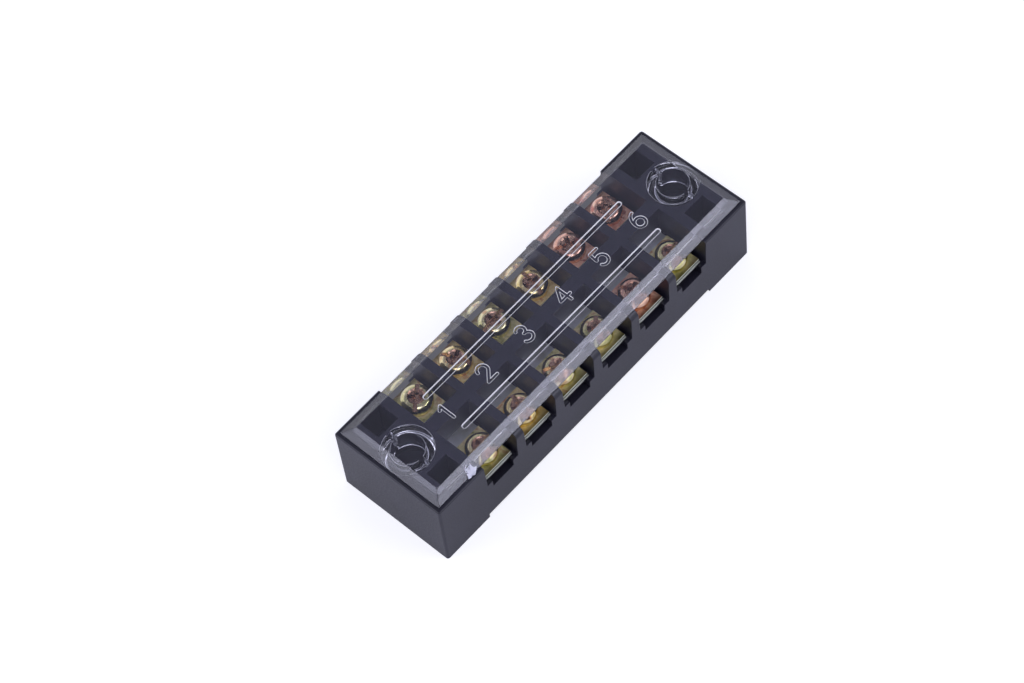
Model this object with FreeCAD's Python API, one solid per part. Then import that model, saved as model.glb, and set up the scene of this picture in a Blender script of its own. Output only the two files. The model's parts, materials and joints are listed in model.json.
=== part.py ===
import FreeCAD, Part
import math
import os

# Barrier terminal strip with a clear push-on cover. Millimetres, +Z up.
# The origin is the middle of the underside; +X runs from position 1 to the last position,
# -Y is the front row of terminals and +Y the back row.

# Row
cell_count = 6
barrier_thickness = 1.6
wall_draft_deg = 2.0

# Contact strip, one through each cell
strip_width = 5.9
strip_thickness = 0.6
strip_side_gap = 0.55
strip_overhang = 0.2
strip_end_recess = 0.75
pad_width = 4.1
pad_drop = 1.2
pad_channel_gap = 0.3
strip_fit = 0.05

# Clamp washer
washer_width = 5.8
washer_length = 6.6
washer_thickness = 0.5
washer_spine_gap = 2.25
washer_fit = 0.06

# Terminal screw
thread_radius = 1.5
thread_fit = 0.05
screw_length = 8.0
head_radius = 2.65
head_height = 1.9
head_bevel = 0.3
recess_reach = 1.45
recess_width = 0.7
recess_depth = 1.2
slot_reach = 2.0
slot_width = 0.85
slot_depth = 0.65
recess_turn_step = 37.0

# Moulded base
foot_relief = 0.85
foot_length = 9.7
under_screw_wall = 1.1
screw_tip_gap = 0.25
screw_hole_gap = 0.3
screw_lift = 2.5
head_room = 0.2
spine_width = 2.4
barrier_end_radius = 1.2
corner_radius = 0.45
top_edge_bevel = 0.2

# End blocks
mount_hole_radius = 2.1
mount_seat_height = 7.0
end_wall = 0.85
inner_wall = 0.75
pocket_end_wall = 3.8
pocket_cell_wall = 1.9
pocket_side_wall = 1.75
pocket_stud_wall = 0.7
pocket_depth = 8.0

# Clear cover
stud_radius = 4.2
stud_fit = 0.05
stud_bore_radius = 2.8
stud_length = 4.0
stud_slit = 1.4
cover_inset = 0.7
cover_land = 0.2
cover_rise = 1.6
cover_roof = 1.2
cover_rim = 1.5
bevel_run = 1.95
rib_length = 46.5
rib_width = 0.85
rib_height = 0.25
rib_spacing = 8.1

# Heights, from the underside up
strip_floor = foot_relief + under_screw_wall + screw_tip_gap + screw_length - washer_thickness - strip_thickness
washer_bottom = strip_floor + strip_thickness
head_bottom = washer_bottom + washer_thickness
base_height = head_bottom + head_height + screw_lift + head_room
channel_floor = strip_floor - pad_drop - pad_channel_gap
roof_bottom = base_height + cover_rise - cover_roof
cover_top = base_height + cover_rise

# Places across the row
screw_y = spine_width / 2 + washer_spine_gap + washer_length / 2
strip_reach = screw_y + washer_length / 2 + strip_overhang
base_width = 2 * (strip_reach + strip_end_recess)

# Places along the row
wall_lean = math.tan(math.radians(wall_draft_deg))
floor_width = strip_width + 2 * strip_side_gap
cell_width = floor_width + 2 * wall_lean * (base_height - strip_floor)
pitch = cell_width + barrier_thickness
stud_hole_radius = stud_radius + stud_fit
end_block = end_wall + 2 * stud_hole_radius + inner_wall
cells_length = (cell_count - 1) * pitch + cell_width
base_length = cells_length + 2 * end_block
mount_x = base_length / 2 - end_wall - stud_hole_radius
cell_centres = [(i - (cell_count - 1) / 2) * pitch for i in range(cell_count)]
sides = {"front": -1, "back": 1}
cut_over = 1.0


def vec(x, y, z):
    return FreeCAD.Vector(x, y, z)


def block(x0, x1, y0, y1, z0, z1):
    return Part.makeBox(x1 - x0, y1 - y0, z1 - z0, vec(x0, y0, z0))


def rod(radius, x, y, z0, z1):
    return Part.makeCylinder(radius, z1 - z0, vec(x, y, z0))


def prism(points, along):
    """A closed outline of straight edges, pushed along a vector."""
    return Part.Face(Part.makePolygon(points + points[:1])).extrude(along)


def rounded_block(x0, x1, y0, y1, z0, z1, radius):
    """A block whose four upright edges are rounded."""
    solid = block(x0, x1, y0, y1, z0, z1)
    upright = [e for e in solid.Edges if abs(e.tangentAt(e.FirstParameter).z) > 0.9]
    return solid.makeFillet(radius, upright)


def frustum(low_x, low_y, z0, high_x, high_y, z1):
    """A block with sloping sides between two rectangles, given by their half sizes."""
    wedge = Part.makeWedge(-low_x, z0, -low_y, -high_y, -high_x, low_x, z1, low_y, high_y, high_x)
    wedge.rotate(vec(0, 0, 0), vec(1, 0, 0), 90)
    return wedge


def base_blank():
    """The moulded block with rounded upright corners, a soft top edge and a raised middle."""
    half_x = base_length / 2
    half_y = base_width / 2
    blank = rounded_block(-half_x, half_x, -half_y, half_y, 0, base_height, corner_radius)
    top = [e for e in blank.Edges if min(v.Z for v in e.Vertexes) > base_height - 0.01]
    blank = blank.makeChamfer(top_edge_bevel, top)
    relief = half_x - foot_length
    return blank.cut(block(-relief, relief, -half_y - cut_over, half_y + cut_over, -cut_over, foot_relief))


def cell_cutter(x, side):
    """One open cell: its side walls lean outwards to the top and it runs out through the side."""
    low = floor_width / 2
    high = cell_width / 2 + wall_lean * cut_over
    top = base_height + cut_over
    inner = spine_width / 2
    outer = base_width / 2 + cut_over
    points = [
        vec(x - low, side * inner, strip_floor),
        vec(x + low, side * inner, strip_floor),
        vec(x + high, side * inner, top),
        vec(x - high, side * inner, top),
    ]
    return prism(points, vec(0, side * (outer - inner), 0))


def strip_channel(x):
    """The T-shaped way through the spine that the strip and its pads slide into."""
    reach = base_width / 2 + cut_over
    half = strip_width / 2 + strip_fit
    deep_half = pad_width / 2 + pad_channel_gap
    top = strip_floor + strip_thickness + strip_fit
    points = [
        vec(x - deep_half, -reach, channel_floor),
        vec(x + deep_half, -reach, channel_floor),
        vec(x + deep_half, -reach, strip_floor),
        vec(x + half, -reach, strip_floor),
        vec(x + half, -reach, top),
        vec(x - half, -reach, top),
        vec(x - half, -reach, strip_floor),
        vec(x - deep_half, -reach, strip_floor),
    ]
    return prism(points, vec(0, 2 * reach, 0))


def screw_well(x, y):
    """The square blind well that takes the end of a screw."""
    half = thread_radius + screw_hole_gap
    return block(x - half, x + half, y - half, y + half, foot_relief + under_screw_wall, strip_floor)


def barrier_rounding(side):
    """What the rounded outer top corners of the barriers lose, in one length along the cells."""
    r = barrier_end_radius
    half_x = cells_length / 2
    edge = base_width / 2
    middle = vec(-half_x, side * (edge - r), base_height - r)
    corner = block(-half_x, half_x, edge - r, edge + cut_over, base_height - r, base_height + cut_over)
    if side < 0:
        corner = corner.mirror(vec(0, 0, 0), vec(0, 1, 0))
    return corner.cut(Part.makeCylinder(r, 2 * half_x, middle, vec(1, 0, 0)))


def end_cutters(end):
    """Mounting hole, its wide upper bore for the cover's stud, and the two moulded pockets."""
    x = end * mount_x
    top = base_height + cut_over
    cutters = [
        rod(mount_hole_radius, x, 0, -cut_over, top),
        rod(stud_hole_radius, x, 0, mount_seat_height, top),
    ]
    outer_x = base_length / 2 - pocket_end_wall
    inner_x = cells_length / 2 + pocket_cell_wall
    inner_y = stud_hole_radius + pocket_stud_wall
    outer_y = base_width / 2 - pocket_side_wall
    for side in (-1, 1):
        x0, x1 = sorted((end * inner_x, end * outer_x))
        y0, y1 = sorted((side * inner_y, side * outer_y))
        cutters.append(block(x0, x1, y0, y1, base_height - pocket_depth, top))
    return cutters


def terminal_base():
    """The one-piece moulding: end blocks, thin spine, barriers and the ledges that carry the strips."""
    cutters = []
    for x in cell_centres:
        cutters.append(strip_channel(x))
        for side in (-1, 1):
            cutters.append(cell_cutter(x, side))
            cutters.append(screw_well(x, side * screw_y))
    for side in (-1, 1):
        cutters.append(barrier_rounding(side))
        cutters += end_cutters(side)
    return base_blank().cut(cutters)


def contact_strip(x):
    """A flat strip with a square tapped pad under each screw."""
    half = strip_width / 2
    pad = pad_width / 2
    top = strip_floor + strip_thickness
    strip = block(x - half, x + half, -strip_reach, strip_reach, strip_floor, top)
    bores = []
    for side in (-1, 1):
        y = side * screw_y
        strip = strip.fuse(block(x - pad, x + pad, y - pad, y + pad, strip_floor - pad_drop, top))
        bores.append(rod(thread_radius + thread_fit, x, y, channel_floor, top + cut_over))
    return strip.cut(bores).removeSplitter()


def clamp_washer(x, y):
    """The punched plate under a screw's head, a little longer across the row than along it."""
    half_x = washer_width / 2
    half_y = washer_length / 2
    plate = block(x - half_x, x + half_x, y - half_y, y + half_y, washer_bottom, head_bottom)
    return plate.cut(rod(thread_radius + washer_fit, x, y, washer_bottom - cut_over, head_bottom + cut_over))


def screw_blank():
    """The turned form on its own axis: shank and low cylindrical head with a bevelled rim."""
    tip = head_bottom - screw_length
    crown = head_bottom + head_height
    outline = [
        (0, tip),
        (thread_radius, tip),
        (thread_radius, head_bottom),
        (head_radius, head_bottom),
        (head_radius, crown - head_bevel),
        (head_radius - head_bevel, crown),
        (0, crown),
    ]
    points = [vec(r, 0, z) for r, z in outline]
    return Part.Face(Part.makePolygon(points + points[:1])).revolve(vec(0, 0, 0), vec(0, 0, 1), 360)


def terminal_screw(x, y, turn):
    """A screw with a deep cross recess and a wider, shallower slot over one of its arms."""
    crown = head_bottom + head_height
    half = recess_width / 2
    foot = crown - recess_depth
    above = crown + cut_over
    recess = [
        block(-recess_reach, recess_reach, -half, half, foot, above),
        block(-half, half, -recess_reach, recess_reach, foot, above),
        block(-slot_reach, slot_reach, -slot_width / 2, slot_width / 2, crown - slot_depth, above),
    ]
    screw = screw_blank().cut(recess)
    screw.rotate(vec(0, 0, 0), vec(0, 0, 1), turn)
    screw.translate(vec(x, y, 0))
    return screw


def cover_shell():
    """The bevelled plate with its shallow hollow underneath."""
    half_x = base_length / 2 - cover_inset
    half_y = base_width / 2 - cover_inset
    land_top = base_height + cover_land
    land = block(-half_x, half_x, -half_y, half_y, base_height, land_top)
    bevel = frustum(half_x, half_y, land_top, half_x - bevel_run, half_y - bevel_run, cover_top)
    low_x = half_x - cover_rim
    low_y = half_y - cover_rim
    lean = (roof_bottom - base_height) * bevel_run / (cover_rise - cover_land)
    hollow = frustum(low_x, low_y, base_height, low_x - lean, low_y - lean, roof_bottom)
    envelope = land.fuse(bevel).removeSplitter()
    return envelope, hollow


def cover_stud(end, envelope):
    """A short tube under the cover that goes into the wide upper bore of a mounting hole."""
    x = end * mount_x
    bottom = base_height - stud_length
    tube = rod(stud_radius, x, 0, bottom, base_height)
    upper = rod(stud_radius, x, 0, base_height, roof_bottom).common(envelope)
    return tube.fuse(upper)


def cover_rib(side):
    """A long low rib on the underside, over the inner ends of one row of cells."""
    x = rib_length / 2
    y = side * rib_spacing / 2
    half = rib_width / 2
    return block(-x, x, y - half, y + half, roof_bottom - rib_height, roof_bottom)


def clear_cover():
    """The one-piece clear cover: plate, split studs and long ribs."""
    envelope, hollow = cover_shell()
    cover = envelope.cut(hollow)
    bottom = base_height - stud_length
    cuts = []
    for end in (-1, 1):
        x = end * mount_x
        cover = cover.fuse([cover_stud(end, envelope), cover_rib(end)])
        cuts.append(rod(stud_bore_radius, x, 0, bottom - cut_over, roof_bottom))
        reach = stud_radius + cut_over
        slit = stud_slit / 2
        cuts.append(block(x - slit, x + slit, -reach, reach, bottom - cut_over, roof_bottom))
    return cover.cut(cuts).removeSplitter()


def save(name, shape):
    solids = shape.Solids
    if len(solids) != 1 or not shape.isValid():
        raise ValueError(f"{name} is not one valid solid")
    solids[0].exportStep(f"parts/{name}.step")
    print(name, round(solids[0].Volume, 2), "mm3")


def main():
    os.makedirs("parts", exist_ok=True)
    print("size", round(base_length, 2), round(base_width, 2), round(cover_top, 2), "pitch", round(pitch, 2))
    save("terminal_base", terminal_base())
    save("clear_cover", clear_cover())
    count = 0
    for number, x in enumerate(cell_centres, 1):
        save(f"contact_strip_{number}", contact_strip(x))
        for row, side in sides.items():
            y = side * screw_y
            save(f"clamp_washer_{row}_{number}", clamp_washer(x, y))
            save(f"terminal_screw_{row}_{number}", terminal_screw(x, y, count * recess_turn_step))
            count += 1


main()
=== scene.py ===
import json
import math
import random
import bmesh
import bpy
from mathutils import Matrix, Quaternion, Vector


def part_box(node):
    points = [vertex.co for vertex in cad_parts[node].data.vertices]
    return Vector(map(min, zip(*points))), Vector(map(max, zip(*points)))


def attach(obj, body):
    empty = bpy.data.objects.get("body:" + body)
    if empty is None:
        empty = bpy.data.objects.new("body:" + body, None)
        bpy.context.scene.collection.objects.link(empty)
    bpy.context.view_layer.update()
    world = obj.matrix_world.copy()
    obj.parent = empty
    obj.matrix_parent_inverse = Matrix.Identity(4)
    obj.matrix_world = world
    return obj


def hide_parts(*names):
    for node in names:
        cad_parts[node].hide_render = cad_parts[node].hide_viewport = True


# A six-way barrier terminal strip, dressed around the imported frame. Places are in metres,
# sizes in the dictionaries are in millimetres unless a name says otherwise.

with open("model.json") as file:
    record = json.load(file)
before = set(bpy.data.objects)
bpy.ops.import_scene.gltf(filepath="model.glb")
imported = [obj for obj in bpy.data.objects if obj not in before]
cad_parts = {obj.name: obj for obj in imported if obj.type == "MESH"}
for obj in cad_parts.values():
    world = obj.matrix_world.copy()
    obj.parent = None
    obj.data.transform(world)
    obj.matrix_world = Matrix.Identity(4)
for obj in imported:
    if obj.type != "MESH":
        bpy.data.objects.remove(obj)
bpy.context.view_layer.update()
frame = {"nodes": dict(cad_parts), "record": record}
nodes = frame["nodes"]
mm = 0.001
print("frame loaded:", len(nodes), "nodes")

rows = ("front", "back")
cellCount = sum(name.startswith("contact_strip") for name in nodes)


def boxOf(node):
    low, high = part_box(node)
    return Vector(low) / mm, Vector(high) / mm


def middleOf(node):
    low, high = boxOf(node)
    return (low + high) / 2


# Colours and materials

def linear(code):
    # an sRGB hex code as the linear colour that a shader takes
    channels = [int(code[i:i + 2], 16) / 255 for i in (1, 3, 5)]
    return tuple(c / 12.92 if c <= 0.04045 else ((c + 0.055) / 1.055) ** 2.4 for c in channels) + (1.0,)


def addNode(tree, kind, settings=None, links=None):
    made = tree.nodes.new(kind)
    for key, value in (settings or {}).items():
        if key == "stops":
            ramp = made.color_ramp.elements
            while len(ramp) < len(value):
                ramp.new(0.5)
            for stop, (place, code) in zip(ramp, value):
                stop.position = place
                stop.color = linear(code)
        elif isinstance(key, int) or key in made.inputs:
            made.inputs[key].default_value = value
        else:
            setattr(made, key, value)
    for key, source in (links or {}).items():
        tree.links.new(source, made.inputs[key])
    return made


def newMaterial(name):
    material = bpy.data.materials.new(name)
    material.use_nodes = True
    material.node_tree.nodes.clear()
    return material, material.node_tree


def finished(tree, surface):
    addNode(tree, "ShaderNodeOutputMaterial", links={"Surface": surface})


def perMetre(sizeMm):
    return 1 / (sizeMm * mm)  # a noise scale that gives patches of about this size


# Phenolic moulding compound, pressed in a satin steel mould: near-black and a little blue, with a low
# soft sheen
blackPhenolic = {
    "colour": "#14131c", "cloud": "#1c1b26", "cloudMm": 7.0, "roughness": (0.3, 0.42),
    "grainMm": 0.25, "grainLiftMm": 0.004, "edgeMm": 0.12, "ior": 1.54,
}


def makeBlackPhenolic(spec):
    material, tree = newMaterial("blackPhenolicMoulded")
    place = addNode(tree, "ShaderNodeTexCoord").outputs["Object"]
    cloud = addNode(tree, "ShaderNodeTexNoise", {"Scale": perMetre(spec["cloudMm"]), "Detail": 4.0},
                    {"Vector": place})
    colour = addNode(tree, "ShaderNodeValToRGB", {"stops": [(0.35, spec["colour"]), (0.7, spec["cloud"])]},
                     {"Fac": cloud.outputs["Fac"]})
    # the real mould grain is about 0.03 mm, drawn coarser so that it shows
    grain = addNode(tree, "ShaderNodeTexNoise", {"Scale": perMetre(spec["grainMm"]), "Detail": 3.0},
                    {"Vector": place})
    low, high = spec["roughness"]
    rough = addNode(tree, "ShaderNodeMapRange",
                    {"From Min": 0.3, "From Max": 0.7, "To Min": low, "To Max": high},
                    {"Value": grain.outputs["Fac"]})
    edge = addNode(tree, "ShaderNodeBevel", {"Radius": spec["edgeMm"] * mm, "samples": 6})
    bump = addNode(tree, "ShaderNodeBump", {"Strength": 0.5, "Distance": spec["grainLiftMm"] * mm},
                   {"Height": grain.outputs["Fac"], "Normal": edge.outputs["Normal"]})
    shader = addNode(tree, "ShaderNodeBsdfPrincipled", {"IOR": spec["ior"]},
                     {"Base Color": colour.outputs["Color"], "Roughness": rough.outputs["Result"],
                      "Normal": bump.outputs["Normal"]})
    finished(tree, shader.outputs["BSDF"])
    return material


# Polycarbonate, injected into a polished mould: water-clear with a faint violet tint. Its sloped edges and
# the studs' tips come out of the mould satin, so they blur what is behind them into a milky band.
clearPolycarbonate = {
    "tint": "#fbfbff", "frost": "#fffff4", "ior": 1.585, "edgeMm": 0.08,
    "ripple": {"patchMm": 3.0, "liftMm": 0.004}, "scratch": {"patchMm": 0.3, "liftMm": 0.004},
}
clearFinishes = {
    "Polished": {"roughness": 0.02, "pattern": "ripple", "clearness": 1.0, "colour": "tint"},
    "Satin": {"roughness": 0.15, "pattern": "scratch", "clearness": 1.0, "colour": "tint"},
    "Torn": {"roughness": 0.4, "pattern": "scratch", "clearness": 0.6, "colour": "tint"},
    # the studs' feet shrink a little as they cool, and lose their polish
    "Foot": {"roughness": 0.3, "pattern": "ripple", "clearness": 0.8, "colour": "tint"},
    # the lines were cut into the mould and not polished, so their flanks show as white outlines
    "Frosted": {"roughness": 0.6, "pattern": "scratch", "clearness": 0.0, "colour": "frost"},
}


def makeClearPolycarbonate(name, spec):
    finish = clearFinishes[name]
    pattern = spec[finish["pattern"]]
    material, tree = newMaterial("clearPolycarbonate" + name)
    place = addNode(tree, "ShaderNodeTexCoord").outputs["Object"]
    # the ripple is at its real size; the scratches are about 0.05 mm, drawn coarser so that they show
    wave = addNode(tree, "ShaderNodeTexNoise", {"Scale": perMetre(pattern["patchMm"]), "Detail": 2.0},
                   {"Vector": place})
    edge = addNode(tree, "ShaderNodeBevel", {"Radius": spec["edgeMm"] * mm, "samples": 4})
    bump = addNode(tree, "ShaderNodeBump", {"Strength": 0.4, "Distance": pattern["liftMm"] * mm},
                   {"Height": wave.outputs["Fac"], "Normal": edge.outputs["Normal"]})
    shader = addNode(tree, "ShaderNodeBsdfPrincipled",
                     {"Base Color": linear(spec[finish["colour"]]), "IOR": spec["ior"],
                      "Roughness": finish["roughness"], "Transmission Weight": finish["clearness"]},
                     {"Normal": bump.outputs["Normal"]})
    # lamps and soft light pass straight through, so the cells are lit as they are under the real cover
    path = addNode(tree, "ShaderNodeLightPath")
    passes = addNode(tree, "ShaderNodeMath", {"operation": "MAXIMUM"},
                     {0: path.outputs["Is Shadow Ray"], 1: path.outputs["Is Diffuse Ray"]})
    through = addNode(tree, "ShaderNodeBsdfTransparent", {"Color": linear(spec["tint"])})
    mixed = addNode(tree, "ShaderNodeMixShader", links={
        0: passes.outputs["Value"], 1: shader.outputs["BSDF"], 2: through.outputs["BSDF"]})
    finished(tree, mixed.outputs["Shader"])
    return material


shear = {"uprightBelow": 0.5, "blendMm": 0.06}


def shearedSides(tree, place, colour, edge, heights):
    # a punched side is burnished bright above and torn dark below, where the metal broke away
    facing = addNode(tree, "ShaderNodeNewGeometry").outputs["True Normal"]
    level = addNode(tree, "ShaderNodeSeparateXYZ", links={0: facing}).outputs["Z"]
    level = addNode(tree, "ShaderNodeMath", {"operation": "ABSOLUTE"}, {0: level}).outputs["Value"]
    side = addNode(tree, "ShaderNodeMath", {"operation": "LESS_THAN", 1: shear["uprightBelow"]}, {0: level})
    middle, blend = sum(heights) / 2, shear["blendMm"]
    up = addNode(tree, "ShaderNodeSeparateXYZ", links={0: place}).outputs["Z"]
    burnished = addNode(tree, "ShaderNodeMapRange",
                        {"From Min": (middle - blend) * mm, "From Max": (middle + blend) * mm},
                        {"Value": up})
    bands = addNode(tree, "ShaderNodeMix",
                    {"data_type": "RGBA", 6: linear(edge["torn"]), 7: linear(edge["burnished"])},
                    {0: burnished.outputs["Result"]})
    return addNode(tree, "ShaderNodeMix", {"data_type": "RGBA"},
                   {0: side.outputs["Value"], 6: colour, 7: bands.outputs[2]}).outputs[2]


# Zinc plate on steel under yellow chromate: a thin passivate film that breaks into gold, olive and copper
chromate = {
    "patchMm": 1.6, "patchSwirl": 0.6, "speckMm": 0.25, "edgeMm": 0.07, "roughSpread": (0.75, 1.3),
    "filmAt": (0.32, 0.45, 0.56, 0.68),
    "olive": ["#b6b274", "#ded696", "#f8ecb2", "#d2ae7c"],
    "gold": ["#d0b26c", "#f0d78e", "#fbe9aa", "#dda870"],
    "copper": ["#c89074", "#efba9a", "#f8d0ae", "#be7e6a"],
    "recess": ["#8a6450", "#a27c62", "#b8947a", "#7c5646"],
    "burnished": "#dfe3d2", "torn": "#5c5c50",
    # painted shade on the washers' outer ends: where it starts and is full (mm out from the middle), its
    # grey, its share
    "paintedShadeFrom": (8.6, 9.8), "paintedShade": "#7e7a72", "paintedShadeShare": 0.9,
}


# the last switch gives the washers their punched sides and a painted shade on their outer ends
def makeChromate(tone, roughness, shearedAndShaded=False):
    material, tree = newMaterial("yellowChromate" + tone.capitalize() + str(int(roughness * 100)))
    place = addNode(tree, "ShaderNodeTexCoord").outputs["Object"]
    patch = addNode(tree, "ShaderNodeTexNoise",
                    {"Scale": perMetre(chromate["patchMm"]), "Detail": 3.0,
                     "Distortion": chromate["patchSwirl"]}, {"Vector": place})
    film = addNode(tree, "ShaderNodeValToRGB", {"stops": list(zip(chromate["filmAt"], chromate[tone]))},
                   {"Fac": patch.outputs["Fac"]})
    # real specks are about 0.05 mm, drawn coarser so that they break up the shine
    speck = addNode(tree, "ShaderNodeTexNoise", {"Scale": perMetre(chromate["speckMm"]), "Detail": 2.0},
                    {"Vector": place})
    low, high = (roughness * share for share in chromate["roughSpread"])
    rough = addNode(tree, "ShaderNodeMapRange",
                    {"From Min": 0.3, "From Max": 0.7, "To Min": low, "To Max": high},
                    {"Value": speck.outputs["Fac"]})
    edge = addNode(tree, "ShaderNodeBevel", {"Radius": chromate["edgeMm"] * mm, "samples": 4})
    colour = film.outputs["Color"]
    if shearedAndShaded:
        # painted shade: the end where the wire goes in, out from under the cover, is darkened towards the
        # outside
        across = addNode(tree, "ShaderNodeSeparateXYZ", links={0: place}).outputs["Y"]
        out = addNode(tree, "ShaderNodeMath", {"operation": "ABSOLUTE"}, {0: across})
        near, far = chromate["paintedShadeFrom"]
        paintedShade = addNode(tree, "ShaderNodeMapRange",
                        {"From Min": near * mm, "From Max": far * mm, "To Max": chromate["paintedShadeShare"]},
                        {"Value": out.outputs["Value"]})
        colour = addNode(tree, "ShaderNodeMix",
                         {"data_type": "RGBA", "blend_type": "MULTIPLY", 7: linear(chromate["paintedShade"])},
                         {0: paintedShade.outputs["Result"], 6: colour}).outputs[2]
        # the punched sides took less of the film, so they stay pale
        heights = [corner.z for corner in boxOf("clamp_washer_front_1")]
        colour = shearedSides(tree, place, colour, chromate, heights)
    shader = addNode(tree, "ShaderNodeBsdfPrincipled", {"Metallic": 1.0},
                     {"Base Color": colour, "Roughness": rough.outputs["Result"],
                      "Normal": edge.outputs["Normal"]})
    finished(tree, shader.outputs["BSDF"])
    return material


# Brass strip, sheared and tin plated: pale silver with a green-yellow cast and fine rolling lines
tinnedBrass = {
    "colour": "#dddfd8", "worn": "#c4c4b0", "burnished": "#d9dccc", "torn": "#4c4c44", "roughness": 0.42,
    "lineMm": 0.12, "lineStretch": 0.05, "lineLiftMm": 0.003,
    "tarnishMm": 2.5, "edgeMm": 0.06, "sheetMm": 0.6,
}


def makeTinnedBrass(spec):
    material, tree = newMaterial("tinnedBrassSheared")
    place = addNode(tree, "ShaderNodeTexCoord").outputs["Object"]
    # rolling lines run along the strip, so the pattern is stretched that way; the real ones are about
    # 0.03 mm apart, drawn coarser so that they show
    drawn = addNode(tree, "ShaderNodeMapping", {"Scale": (1.0, spec["lineStretch"], 1.0)},
                    {"Vector": place})
    lines = addNode(tree, "ShaderNodeTexNoise", {"Scale": perMetre(spec["lineMm"]), "Detail": 2.0},
                    {"Vector": drawn.outputs["Vector"]})
    tarnish = addNode(tree, "ShaderNodeTexNoise", {"Scale": perMetre(spec["tarnishMm"]), "Detail": 3.0},
                      {"Vector": place})
    colour = addNode(tree, "ShaderNodeValToRGB", {"stops": [(0.4, spec["colour"]), (0.7, spec["worn"])]},
                     {"Fac": tarnish.outputs["Fac"]})
    edge = addNode(tree, "ShaderNodeBevel", {"Radius": spec["edgeMm"] * mm, "samples": 4})
    bump = addNode(tree, "ShaderNodeBump", {"Strength": 0.5, "Distance": spec["lineLiftMm"] * mm},
                   {"Height": lines.outputs["Fac"], "Normal": edge.outputs["Normal"]})
    top = boxOf("contact_strip_1")[1].z
    sides = shearedSides(tree, place, colour.outputs["Color"], spec, (top - spec["sheetMm"], top))
    shader = addNode(tree, "ShaderNodeBsdfPrincipled", {"Metallic": 1.0, "Roughness": spec["roughness"]},
                     {"Base Color": sides, "Normal": bump.outputs["Normal"]})
    finished(tree, shader.outputs["BSDF"])
    return material


tones = ("olive", "gold", "copper")
metalRoughness = {"screw": 0.16, "washer": 0.6, "recess": 0.24}
blackMaterial = makeBlackPhenolic(blackPhenolic)
clearMaterials = {name: makeClearPolycarbonate(name, clearPolycarbonate) for name in clearFinishes}
screwMaterials = {tone: makeChromate(tone, metalRoughness["screw"]) for tone in tones}
washerMaterials = {tone: makeChromate(tone, metalRoughness["washer"], shearedAndShaded=True) for tone in tones}
recessMaterial = makeChromate("recess", metalRoughness["recess"])
stripMaterial = makeTinnedBrass(tinnedBrass)
print("materials ready:", len(bpy.data.materials))


# Mesh tools

def addPiece(name, build, materials):
    mesh = bpy.data.meshes.new(name)
    form = bmesh.new()
    build(form)
    bmesh.ops.recalc_face_normals(form, faces=form.faces)
    if form.calc_volume(signed=True) < 0:
        bmesh.ops.reverse_faces(form, faces=form.faces)
    form.to_mesh(mesh)
    form.free()
    for material in materials:
        mesh.materials.append(material)
    piece = bpy.data.objects.new(name, mesh)
    bpy.context.collection.objects.link(piece)
    return piece


def settle(piece):
    # takes the modifiers' result as the mesh
    bpy.context.view_layer.update()
    seen = piece.evaluated_get(bpy.context.evaluated_depsgraph_get())
    done = bpy.data.meshes.new_from_object(seen)
    piece.modifiers.clear()
    old = piece.data
    piece.data = done
    bpy.data.meshes.remove(old)


def combine(piece, tool, operation):
    step = piece.modifiers.new(operation, "BOOLEAN")
    step.object = tool
    step.operation = operation
    step.solver = "EXACT"
    settle(piece)
    bpy.data.objects.remove(tool)


def addSlab(form, levels):
    # levels: (half length, half width, height), joined by flat sides and closed at both ends
    rings = []
    for halfX, halfY, z in levels:
        corners = ((-halfX, -halfY), (halfX, -halfY), (halfX, halfY), (-halfX, halfY))
        rings.append([form.verts.new(Vector((x, y, z)) * mm) for x, y in corners])
    for lower, upper in zip(rings, rings[1:]):
        for i in range(4):
            form.faces.new((lower[i - 1], lower[i], upper[i], upper[i - 1]))
    form.faces.new(rings[0])
    form.faces.new(rings[-1])


def addBlock(form, low, high):
    size = Vector(high) - Vector(low)
    place = Matrix.Translation((Vector(high) + Vector(low)) / 2 * mm) @ Matrix.Diagonal((*size * mm, 1))
    bmesh.ops.create_cube(form, size=1.0, matrix=place)


def addTurned(form, profile, centre, segments):
    # profile: (radius, height) from one point to the next, closed on itself or ending on the axis
    rings = []
    for radius, z in profile:
        if radius < 1e-6:
            rings.append([form.verts.new(Vector((centre[0], centre[1], z)) * mm)])
            continue
        ring = []
        for i in range(segments):
            angle = 2 * math.pi * i / segments
            x = centre[0] + radius * math.cos(angle)
            y = centre[1] + radius * math.sin(angle)
            ring.append(form.verts.new(Vector((x, y, z)) * mm))
        rings.append(ring)
    closed = len(rings[0]) > 1 and len(rings[-1]) > 1
    pairs = list(zip(rings, rings[1:])) + ([(rings[-1], rings[0])] if closed else [])
    for a, b in pairs:
        for i in range(segments):
            j = (i + 1) % segments
            if len(a) == 1:
                form.faces.new((a[0], b[i], b[j]))
            elif len(b) == 1:
                form.faces.new((a[i], b[0], a[j]))
            else:
                form.faces.new((a[i], b[i], b[j], a[j]))


def sidesOf(points, half, ring):
    # the two edges of a stroke, mitred where it turns
    left, right = [], []
    for i, point in enumerate(points):
        following = points[(i + 1) % len(points)]
        before = (point - points[i - 1]).normalized() if i or ring else None
        after = (following - point).normalized() if i + 1 < len(points) or ring else None
        along = ((before or after) + (after or before)).normalized()
        reach = half / max(0.5, along.dot(after or before))
        side = Vector((-along.y, along.x)) * reach
        left.append(point + side)
        right.append(point - side)
    return left, right


def roundEnd(point, inward, half, steps=9):
    # from one edge of the stroke round its tip to the other
    along = (point - inward).normalized() * half
    side = Vector((-along.y, along.x))
    angles = [math.pi * k / steps for k in range(1, steps)]
    return [point + side * math.cos(a) + along * math.sin(a) for a in angles]


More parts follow.
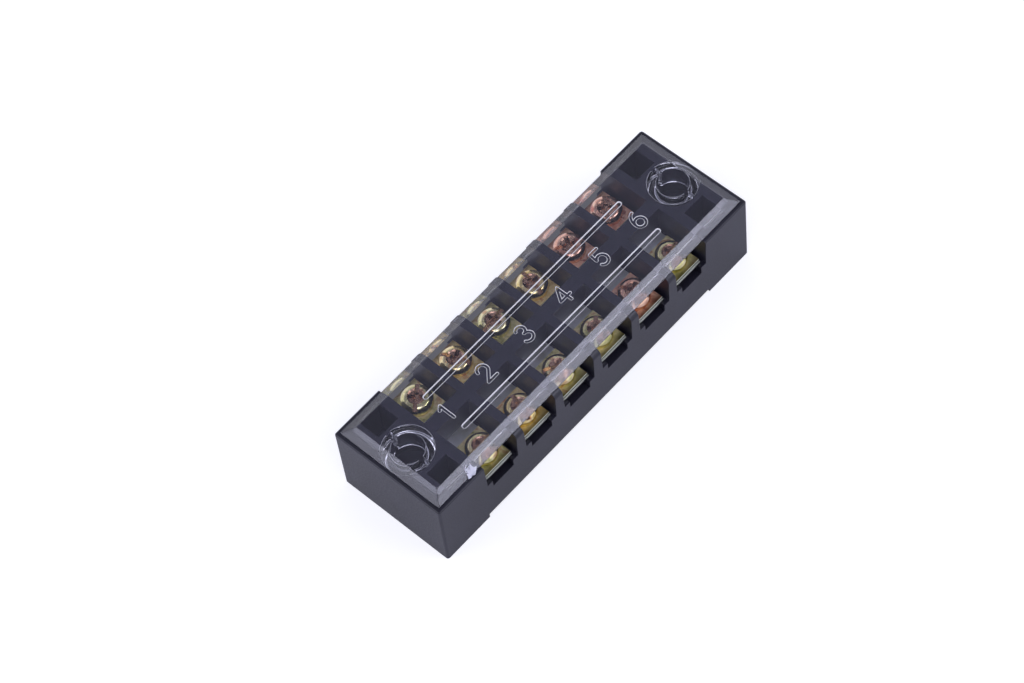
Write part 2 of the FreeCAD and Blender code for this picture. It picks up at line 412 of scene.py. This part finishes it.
def addRidge(form, path, top, ridge):
    # a low ridge under the roof that follows a path; its sides slope in to a flat face. An open path
    # ends round, and one that comes back to its start makes a ring.
    half = ridge["width"] / 2
    points = [Vector(p) for p in path]
    ring = (points[0] - points[-1]).length < 1e-6
    if ring:
        points.pop()
    levels = [(half, top + ridge["root"]), (half, top), (half - ridge["slope"], top - ridge["height"])]
    outlines = []
    for reach, z in levels:
        left, right = sidesOf(points, reach, ring)
        if ring:
            loops = [left, right]
        else:
            tips = roundEnd(points[-1], points[-2], reach), roundEnd(points[0], points[1], reach)
            loops = [left + tips[0] + right[::-1] + tips[1]]
        outlines.append([[form.verts.new(Vector((p.x, p.y, z)) * mm) for p in loop] for loop in loops])
    for upper, lower in zip(outlines, outlines[1:]):
        for a, b in zip(upper, lower):
            for i in range(len(a)):
                form.faces.new((a[i - 1], a[i], b[i], b[i - 1]))
    for loops in (outlines[0], outlines[-1]):
        if not ring:
            form.faces.new(loops[0])
            continue
        for i in range(len(points)):
            form.faces.new((loops[0][i - 1], loops[0][i], loops[1][i], loops[1][i - 1]))


def arc(centreX, centreY, radiusX, radiusY, start, end, stepDeg=12):
    steps = max(2, round(abs(end - start) / stepDeg))
    points = []
    for i in range(steps + 1):
        angle = math.radians(start + (end - start) * i / steps)
        points.append((centreX + radiusX * math.cos(angle), centreY + radiusY * math.sin(angle)))
    return points


# Moulded base and the metal that stays in it

# the film came out copper or gold in these cells, and olive in the others
copperCells = {"front": (5,), "back": (5, 6)}
goldCells = {"front": (2,), "back": (2, 4)}


def toneOf(row, number):
    if number in copperCells[row]:
        return "copper"
    return "gold" if number in goldCells[row] else "olive"


def dress(node, material):
    nodes[node].data.materials.clear()
    nodes[node].data.materials.append(material)


dress("terminal_base", blackMaterial)
for number in range(1, cellCount + 1):
    dress(f"contact_strip_{number}", stripMaterial)
    for row in rows:
        dress(f"clamp_washer_{row}_{number}", washerMaterials[toneOf(row, number)])
print("base, strips and washers dressed")


# Terminal screws: pan head with a cross recess and a slot, waisted neck, rolled thread

screw = {
    "headRadius": 2.65, "headHeight": 1.9, "crownRadius": 1.6, "crownDrop": 0.02, "shoulderHeight": 0.7,
    "domeSteps": 12, "footEdge": 0.08, "dishFoot": 1.2, "dishRadius": 1.45, "dishDepth": 0.18,
    "crossReach": 1.5, "crossFlare": 0.15, "crossFoot": 0.75, "crossWidth": 0.78, "crossTaper": 0.8,
    "crossDepth": 1.0, "crossOver": 0.3, "slotWidth": 0.72, "slotDepth": 0.6, "slotOver": 0.5,
    "neckRadius": 1.25, "neckLength": 0.6, "intoHead": 0.3,
    "threadPitch": 0.5, "threadRadius": 1.5, "threadFlat": 0.12, "rootRadius": 1.2,
    "lead": 0.45, "leadSlope": 0.8,
    "brownBelow": 0.06, "brownAbove": 0.1, "smoothDeg": 32,
    "turnStepDeg": 37.0, "segments": 72, "threadSegments": 36, "ringsPerTurn": 6,
}


def headProfile(spec):
    # a crown with a shallow pressed dish, which rolls over into a domed side
    top = spec["headHeight"]
    dish = top - spec["dishDepth"]
    crown = top - spec["crownDrop"]
    edge = spec["footEdge"]
    reach = spec["headRadius"] - spec["crownRadius"]
    profile = [(0.0, dish), (spec["dishFoot"], dish)]
    profile += [(spec["dishRadius"], top), (spec["crownRadius"], crown)]
    for i in range(1, spec["domeSteps"] + 1):
        angle = math.pi / 2 * i / spec["domeSteps"]
        profile.append((spec["crownRadius"] + reach * math.sin(angle),
                        spec["shoulderHeight"] + (crown - spec["shoulderHeight"]) * math.cos(angle)))
    return profile + [(spec["headRadius"], edge), (spec["headRadius"] - edge, 0.0), (0.0, 0.0)]


def buildHead(form):
    addTurned(form, headProfile(screw), (0, 0), screw["segments"])


def buildWing(form, turn):
    # one bar of the cross: it narrows towards the bottom, as the driver's tip does
    top = screw["headHeight"] + screw["crossOver"]
    foot = screw["headHeight"] - screw["crossDepth"]
    reach = screw["crossReach"] + screw["crossFlare"]
    wide = screw["crossWidth"] / 2
    narrow = wide * screw["crossTaper"]
    spin = Matrix.Rotation(turn, 3, "Z")
    loops = []
    for z, x, y in ((foot, screw["crossFoot"], narrow), (top, reach, wide)):
        corners = ((-x, -y), (x, -y), (x, y), (-x, y))
        loops.append([form.verts.new(spin @ Vector((a, b, z)) * mm) for a, b in corners])
    low, high = loops
    for i in range(4):
        form.faces.new((low[i - 1], low[i], high[i], high[i - 1]))
    form.faces.new(low)
    form.faces.new(high)


def buildSlot(form):
    over = screw["slotOver"]
    reach = screw["headRadius"] + over
    half = screw["slotWidth"] / 2
    addBlock(form, (-reach, -half, screw["headHeight"] - screw["slotDepth"]),
             (reach, half, screw["headHeight"] + over))


def buildShank(form):
    # the height decides the radius: neck, thread that fades in, then a short lead at the tip
    around = screw["threadSegments"]
    pitch = screw["threadPitch"]
    flat = screw["threadFlat"]
    length = screw["tipBelow"]
    count = int(length / pitch * screw["ringsPerTurn"])
    levels = [screw["intoHead"]] + [-length * k / count for k in range(count + 1)]
    rings = []
    for z in levels:
        ring = []
        narrowing = max(0.0, screw["lead"] - (length + z)) * screw["leadSlope"]
        for i in range(around):
            turn = i / around
            ridge = abs(((z / pitch - turn) % 1.0) * 2 - 1)  # 0 in the root, 1 on the crest
            ridge = min(1.0, max(0.0, (ridge - flat) / (1 - 2 * flat)))
            radius = screw["rootRadius"] + (screw["threadRadius"] - screw["rootRadius"]) * ridge
            if -z < screw["neckLength"]:
                radius = screw["neckRadius"]
            radius = min(radius, screw["threadRadius"] - narrowing)
            angle = 2 * math.pi * turn
            place = Vector((radius * math.cos(angle), radius * math.sin(angle), z))
            ring.append(form.verts.new(place * mm))
        rings.append(ring)
    for a, b in zip(rings, rings[1:]):
        for i in range(around):
            j = (i + 1) % around
            form.faces.new((a[i], b[i], b[j], a[j]))
    form.faces.new(rings[0])
    form.faces.new(rings[-1])


firstLow, firstHigh = boxOf("terminal_screw_front_1")
screw["tipBelow"] = firstHigh.z - screw["headHeight"] - firstLow.z
pattern = addPiece("screwPattern", buildHead, [])
for turn in (0, math.pi / 2):
    combine(pattern, addPiece("wingTool", lambda form: buildWing(form, turn), []), "DIFFERENCE")
combine(pattern, addPiece("slotTool", buildSlot, []), "DIFFERENCE")
combine(pattern, addPiece("shankTool", buildShank, []), "UNION")


def smoothShallow(piece, limitDeg):
    # faces that meet at a shallow angle shade as one surface, and large flat ones stay flat
    work = bmesh.new()
    work.from_mesh(piece.data)
    for face in work.faces:
        face.smooth = True
    for edge in work.edges:
        edge.smooth = len(edge.link_faces) == 2 and edge.calc_face_angle(0) < math.radians(limitDeg)
    work.to_mesh(piece.data)
    work.free()
    piece.modifiers.new("weighted", "WEIGHTED_NORMAL").keep_sharp = True
    settle(piece)


smoothShallow(pattern, screw["smoothDeg"])
for face in pattern.data.polygons:
    # the dish and the driver's recess keep a thicker, browner film
    inside = face.center.xy.length < screw["dishRadius"] * mm
    low = screw["brownAbove"] < face.center.z / mm < screw["headHeight"] - screw["brownBelow"]
    face.material_index = 1 if inside and low else 0
count = 0
for number in range(1, cellCount + 1):
    for row in rows:
        name = f"terminal_screw_{row}_{number}"
        centre = middleOf(name)
        low, high = boxOf(name)
        mesh = pattern.data.copy()
        turn = Matrix.Rotation(math.radians(count * screw["turnStepDeg"]), 4, "Z")
        place = Matrix.Translation(Vector((centre.x, centre.y, high.z - screw["headHeight"])) * mm)
        mesh.transform(place @ turn)
        for material in (screwMaterials[toneOf(row, number)], recessMaterial):
            mesh.materials.append(material)
        piece = bpy.data.objects.new(f"screw_{row}_{number}", mesh)
        bpy.context.collection.objects.link(piece)
        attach(piece, f"screw_{row}_{number}")
        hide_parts(name)
        count += 1
bpy.data.objects.remove(pattern)
print("terminal screws made:", count)


# Clear cover: bevelled plate, split studs, long ribs and raised numerals, all one moulding

cover = {
    "land": 0.2, "rim": 1.5, "roof": 1.2, "bevelRun": 1.95, "cornerSoft": 0.1,
    "studRadius": 4.15, "studBore": 2.8, "studLead": 0.6, "studFillet": 0.15, "studSlit": 0.9,
    "studSegments": 96, "studRoot": 0.3, "skin": 0.05, "toolEnd": 1.0, "toolSide": 0.5,
    "ribLength": 46.5, "ribSpacing": 8.1, "numeralHeight": 3.1, "numeralShift": (-0.2, -0.2),
    "smoothDeg": 25, "leaning": (0.4, 0.9), "curved": (0.1, 0.98), "footReach": 6.0, "footGap": 1.0,
}
ribRidge = {"width": 0.96, "height": 0.25, "slope": 0.15, "root": 0.1}
numeralRidge = {"width": 0.57, "height": 0.1, "slope": 0.085, "root": 0.1}
# strokes in parts of the height, y up, centred on the middle of the numeral
numerals = {
    1: [[(-0.18, 0.28), (0.03, 0.47)], [(0.03, 0.47), (0.03, -0.5)]],
    2: [arc(0.0, 0.2, 0.29, 0.3, 170, -38), [(0.23, 0.015), (-0.3, -0.5)], [(-0.3, -0.5), (0.32, -0.5)]],
    3: [arc(-0.01, 0.25, 0.25, 0.25, 150, -85), arc(-0.01, -0.25, 0.31, 0.27, 88, -155)],
    4: [[(0.14, -0.5), (0.14, 0.5)], [(0.14, 0.5), (-0.33, -0.2)], [(-0.33, -0.2), (0.36, -0.2)]],
    5: [[(0.27, 0.5), (-0.22, 0.5)], [(-0.22, 0.5), (-0.27, 0.03)],
        arc(-0.01, -0.18, 0.3, 0.32, 148, -148)],
    6: [arc(0.17, -0.2, 0.47, 0.7, 96, 180), arc(0.0, -0.2, 0.3, 0.3, 0, 360)],
}

coverLow, coverHigh = boxOf("clear_cover")
baseTop = boxOf("terminal_base")[1].z
coverHalf = (coverHigh - coverLow) / 2
roofUnder = coverHigh.z - cover["roof"]
landTop = baseTop + cover["land"]
hair = 0.01  # keeps a limit off the faces that lie at exactly that height
fixing = next(m for m in frame["record"]["mounts"] if m["name"] == "mounting_holes")
studX = fixing["dims"]["spacing_x_mm"] / 2


def buildPlate(form):
    inner = (coverHalf.x - cover["bevelRun"], coverHalf.y - cover["bevelRun"], coverHigh.z)
    addSlab(form, [(coverHalf.x, coverHalf.y, baseTop), (coverHalf.x, coverHalf.y, landTop), inner])
    edges = [e for e in form.edges if max(v.co.z for v in e.verts) > (landTop + hair) * mm]
    bmesh.ops.bevel(form, geom=edges, offset=cover["cornerSoft"] * mm, segments=3, affect="EDGES",
                    profile=0.5)


def buildHollow(form):
    reach = (coverHalf.x - cover["rim"], coverHalf.y - cover["rim"])
    addSlab(form, [(*reach, baseTop - cover["toolEnd"]), (*reach, roofUnder)])


def buildStuds(form):
    # a tube with a rounded foot on the roof, inside and out, and a rounded tip
    lead = cover["studLead"]
    fillet = cover["studFillet"]
    outer = cover["studRadius"]
    bore = cover["studBore"]
    tip = coverLow.z + lead
    foot = roofUnder - fillet
    root = roofUnder + cover["studRoot"]
    profile = [(bore - fillet, root)]
    profile += arc(bore - fillet, foot, fillet, fillet, 90, 0)
    profile += arc(bore + lead, tip, lead, lead, 180, 270)
    profile += arc(outer - lead, tip, lead, lead, 270, 360)
    profile += arc(outer + fillet, foot, fillet, fillet, 180, 90)
    profile += [(outer + fillet, root)]
    for end in (-1, 1):
        addTurned(form, profile, (end * studX, 0), cover["studSegments"])


def buildEnvelope(form):
    # the outside of the cover, drawn in by a hair and carried down past the studs
    skin = cover["skin"]
    wide = (coverHalf.x - skin, coverHalf.y - skin)
    narrow = (wide[0] - cover["bevelRun"], wide[1] - cover["bevelRun"])
    foot = coverLow.z - cover["toolEnd"]
    addSlab(form, [(*wide, foot), (*wide, landTop - skin), (*narrow, coverHigh.z - skin)])


def buildSlits(form):
    half = cover["studSlit"] / 2
    reach = cover["studRadius"] + cover["toolSide"]
    for end in (-1, 1):
        x = end * studX
        addBlock(form, (x - half, -reach, coverLow.z - cover["toolEnd"]), (x + half, reach, roofUnder))


def buildRibs(form):
    half = cover["ribLength"] / 2 - ribRidge["width"] / 2
    for side in (-1, 1):
        y = side * cover["ribSpacing"] / 2
        addRidge(form, [(-half, y), (half, y)], roofUnder, ribRidge)


def finishOf(face):
    # which finish of the moulding a face of the cover has, from where it lies and how it leans
    upright = abs(face.normal.z)
    outwards = face.normal.z > 0
    height = face.center.z / mm
    leans = cover["leaning"][0] < upright < cover["leaning"][1]
    curves = cover["curved"][0] < upright < cover["curved"][1]
    byStud = abs(face.center.x) / mm >= studX - cover["studRadius"] - cover["footGap"]
    inFoot = roofUnder - cover["studFillet"] < height < roofUnder - hair
    if leans and outwards and height > landTop:
        return "Satin"
    if upright > cover["curved"][0] and height < coverLow.z + cover["studLead"]:
        return "Satin"
    if leans and not outwards and not byStud and height < roofUnder:
        return "Frosted"
    if curves and byStud and inFoot and abs(face.center.y) / mm < cover["footReach"]:
        return "Foot"
    return "Polished"


plateFinishes = ["Polished", "Satin", "Frosted", "Foot"]
plate = addPiece("clearCover", buildPlate, [clearMaterials[name] for name in plateFinishes])
combine(plate, addPiece("hollowTool", buildHollow, []), "DIFFERENCE")
relief = addPiece("reliefTool", buildRibs, [])
tall = cover["numeralHeight"]
shiftX, shiftY = cover["numeralShift"]
for number, strokes in numerals.items():
    middle = middleOf(f"contact_strip_{number}").x + shiftX
    for stroke in strokes:
        path = [(middle + x * tall, shiftY + y * tall) for x, y in stroke]
        ridge = addPiece("strokeTool", lambda form: addRidge(form, path, roofUnder, numeralRidge), [])
        combine(relief, ridge, "UNION")
combine(plate, relief, "UNION")
studs = addPiece("studTool", buildStuds, [])
combine(studs, addPiece("envelopeTool", buildEnvelope, []), "INTERSECT")
combine(studs, addPiece("slitTool", buildSlits, []), "DIFFERENCE")
combine(plate, studs, "UNION")
for face in plate.data.polygons:
    face.material_index = plateFinishes.index(finishOf(face))
smoothShallow(plate, cover["smoothDeg"])
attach(plate, "cover")
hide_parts("clear_cover")
print("clear cover made:", len(plate.data.polygons), "faces")


# Gate vestige: the torn stub that is left where the cover was broken off its runner

gate = {
    "x": -28.1, "y": -10.2, "z": 15.1, "reach": (0.9, 1.5), "below": 0.6, "crest": 0.3, "rim": 0.25,
    "root": 0.12, "rootShare": 0.8, "spikes": 8, "seed": 5, "turnJitter": 0.8, "reachJitter": (0.4, 0.8),
    "crack": [(-0.2, 0.3), (-0.5, 0.8), (-0.2, 1.25), (0.3, 1.5)],
    "crackWidth": 0.09, "crackLift": 0.03, "crackRoot": 0.07,
}
upSlope = Vector((0, cover["bevelRun"], coverHigh.z - landTop)).normalized()
outOfSlope = Vector((0, -upSlope.z, upSlope.y))


def onSlope(place, out):
    # a point on the front sloped edge, from how far along and up it is and how far it stands out
    middle = Vector((gate["x"], gate["y"], gate["z"]))
    return (middle + Vector((place.x, 0, 0)) + upSlope * place.y + outOfSlope * out) * mm


def buildGate(form):
    # a star of torn splinters that lies on the sloped edge, with its middle raised
    rng = random.Random(gate["seed"])
    outline = []
    count = 2 * gate["spikes"]
    short, long = gate["reach"]
    least, spread = gate["reachJitter"]
    for i in range(count):
        angle = 2 * math.pi * (i + gate["turnJitter"] * rng.random()) / count
        reach = (short if i % 2 else long) * (least + spread * rng.random())
        across, up = reach * math.cos(angle), reach * math.sin(angle)
        outline.append(Vector((across, up if up > 0 else up * gate["below"])))
    crest = form.verts.new(onSlope(Vector((0, 0)), gate["crest"]))
    rim = [form.verts.new(onSlope(p, gate["rim"] * rng.random())) for p in outline]
    root = [form.verts.new(onSlope(p * gate["rootShare"], -gate["root"])) for p in outline]
    for i in range(count):
        form.faces.new((crest, rim[i - 1], rim[i]))
        form.faces.new((rim[i - 1], root[i - 1], root[i], rim[i]))
    form.faces.new(root)
    bmesh.ops.triangulate(form, faces=form.faces)


def buildCrack(form):
    # the hairline crack that runs up the slope, as a low ridge
    left, right = sidesOf([Vector(point) for point in gate["crack"]], gate["crackWidth"] / 2, False)
    outline = left + right[::-1]
    top = [form.verts.new(onSlope(p, gate["crackLift"])) for p in outline]
    foot = [form.verts.new(onSlope(p, -gate["crackRoot"])) for p in outline]
    for i in range(len(outline)):
        form.faces.new((top[i - 1], top[i], foot[i], foot[i - 1]))
    form.faces.new(top)
    form.faces.new(foot)


stub = addPiece("gateStub", buildGate, [clearMaterials["Torn"]])
combine(stub, addPiece("crackTool", buildCrack, []), "UNION")
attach(stub, "cover")
print("gate stub made")


# Floor, light and camera

floorSpec = {
    "sizeMetres": 6.0, "colour": "#c9c9d2", "shadowedThroughClear": "#86867e",
    "glowColour": "#fffff9", "glow": 0.64, "mirrored": (0.17, 0.5), "farBehindMetres": 0.12,
}
bpy.ops.mesh.primitive_plane_add(size=floorSpec["sizeMetres"], location=(0, 0, 0))
floor = bpy.context.object
floor.name = "floor"
floorMaterial, tree = newMaterial("paperWhite")
path = addNode(tree, "ShaderNodeLightPath")
# the paper burns out to white for the camera, and less so where it is seen through the clear cover
reflected = addNode(tree, "ShaderNodeMath", {"operation": "GREATER_THAN"},
                    {0: path.outputs["Is Glossy Ray"], 1: path.outputs["Is Transmission Ray"]})
# painted reflection: shiny and clear parts mirror a paper glow, dimmer in front of the strip, a painted
# shadow
spot = addNode(tree, "ShaderNodeNewGeometry").outputs["Position"]
back = addNode(tree, "ShaderNodeSeparateXYZ", links={0: spot}).outputs["Y"]
low, high = floorSpec["mirrored"]
behind = addNode(tree, "ShaderNodeMapRange",
                 {"From Min": 0.0, "From Max": floorSpec["farBehindMetres"], "To Min": low, "To Max": high},
                 {"Value": back})
mirrored = addNode(tree, "ShaderNodeMath", {"operation": "MULTIPLY"},
                   {0: reflected.outputs["Value"], 1: behind.outputs["Result"]})
amount = addNode(tree, "ShaderNodeMath", {"operation": "MULTIPLY_ADD", 1: floorSpec["glow"]},
                 {0: path.outputs["Is Camera Ray"], 2: mirrored.outputs["Value"]})
glow = addNode(tree, "ShaderNodeEmission", {"Color": linear(floorSpec["glowColour"])},
               {"Strength": amount.outputs["Value"]})
# painted shadow: seen through the clear cover, the paper takes a darker grey, as if in the strip's shadow
tint = addNode(tree, "ShaderNodeMix",
               {"data_type": "RGBA", 6: linear(floorSpec["colour"]), 7: linear(floorSpec["shadowedThroughClear"])},
               {0: path.outputs["Is Transmission Ray"]})
paper = addNode(tree, "ShaderNodeBsdfDiffuse", links={"Color": tint.outputs[2]})
both = addNode(tree, "ShaderNodeAddShader", links={0: glow.outputs["Emission"], 1: paper.outputs["BSDF"]})
finished(tree, both.outputs["Shader"])
floor.data.materials.append(floorMaterial)

# studio walls: bright low down on all sides, dark overhead
walls = {
    "stops": [(0.5, "#dcdeee"), (0.76, "#d2d4ea"), (0.9, "#7f8094"), (1.0, "#6f7083")], "strength": 1.3,
}
world = bpy.data.worlds.new("studio")
bpy.context.scene.world = world
world.use_nodes = True
sky = world.node_tree
outwards = addNode(sky, "ShaderNodeTexCoord").outputs["Generated"]
height = addNode(sky, "ShaderNodeSeparateXYZ", links={0: outwards}).outputs["Z"]
level = addNode(sky, "ShaderNodeMapRange", {"From Min": -1.0, "From Max": 1.0}, {"Value": height})
shade = addNode(sky, "ShaderNodeValToRGB", {"stops": walls["stops"]}, {"Fac": level.outputs["Result"]})
backdrop = sky.nodes["Background"]
backdrop.inputs["Strength"].default_value = walls["strength"]
sky.links.new(shade.outputs["Color"], backdrop.inputs["Color"])

softboxColour = "#e9eaff"
# direction from the object, distance in metres, width and height in metres, radiance
softboxes = {
    "frontRight": {"towards": (0.34, -0.69, 0.635), "distance": 0.9, "size": (0.42, 0.24), "radiance": 4.4},
    "left": {"towards": (-0.775, 0.393, 0.52), "distance": 0.9, "size": (0.4, 0.4), "radiance": 2.4},
    "aboveCamera": {"towards": (-0.34, -0.42, 0.84), "distance": 1.2, "size": (0.55, 0.55),
                    "radiance": 2.8},
}
for name, spec in softboxes.items():
    lamp = bpy.data.lights.new(name, "AREA")
    lamp.color = linear(softboxColour)[:3]
    lamp.shape = "RECTANGLE"
    lamp.size, lamp.size_y = spec["size"]
    lamp.energy = spec["radiance"] * math.pi * lamp.size * lamp.size_y
    holder = bpy.data.objects.new(name, lamp)
    towards = Vector(spec["towards"]).normalized()
    holder.location = towards * spec["distance"]
    holder.rotation_euler = towards.to_track_quat("Z", "Y").to_euler()
    bpy.context.collection.objects.link(holder)

# the photograph's view, with the image taken as 1024 by 683
view = {
    "spot": (-177.21, -195.75, 441.19), "target": (-3.873, 3.865, 7.988), "rollDeg": -8.532,
    "lens": 113.1, "sensor": 36.0, "nearest": 10.0,
}
camera = bpy.data.objects.new("camera", bpy.data.cameras.new("camera"))
camera.data.lens = view["lens"]
camera.data.sensor_width = view["sensor"]
camera.data.clip_start = view["nearest"] * mm
camera.location = Vector(view["spot"]) * mm
aim = (Vector(view["target"]) - Vector(view["spot"])).to_track_quat("-Z", "Y")
camera.rotation_mode = "QUATERNION"
camera.rotation_quaternion = aim @ Quaternion((0, 0, 1), math.radians(view["rollDeg"]))
bpy.context.collection.objects.link(camera)
bpy.context.scene.camera = camera
bpy.context.scene.view_settings.view_transform = "Standard"
print("floor, light and camera set")
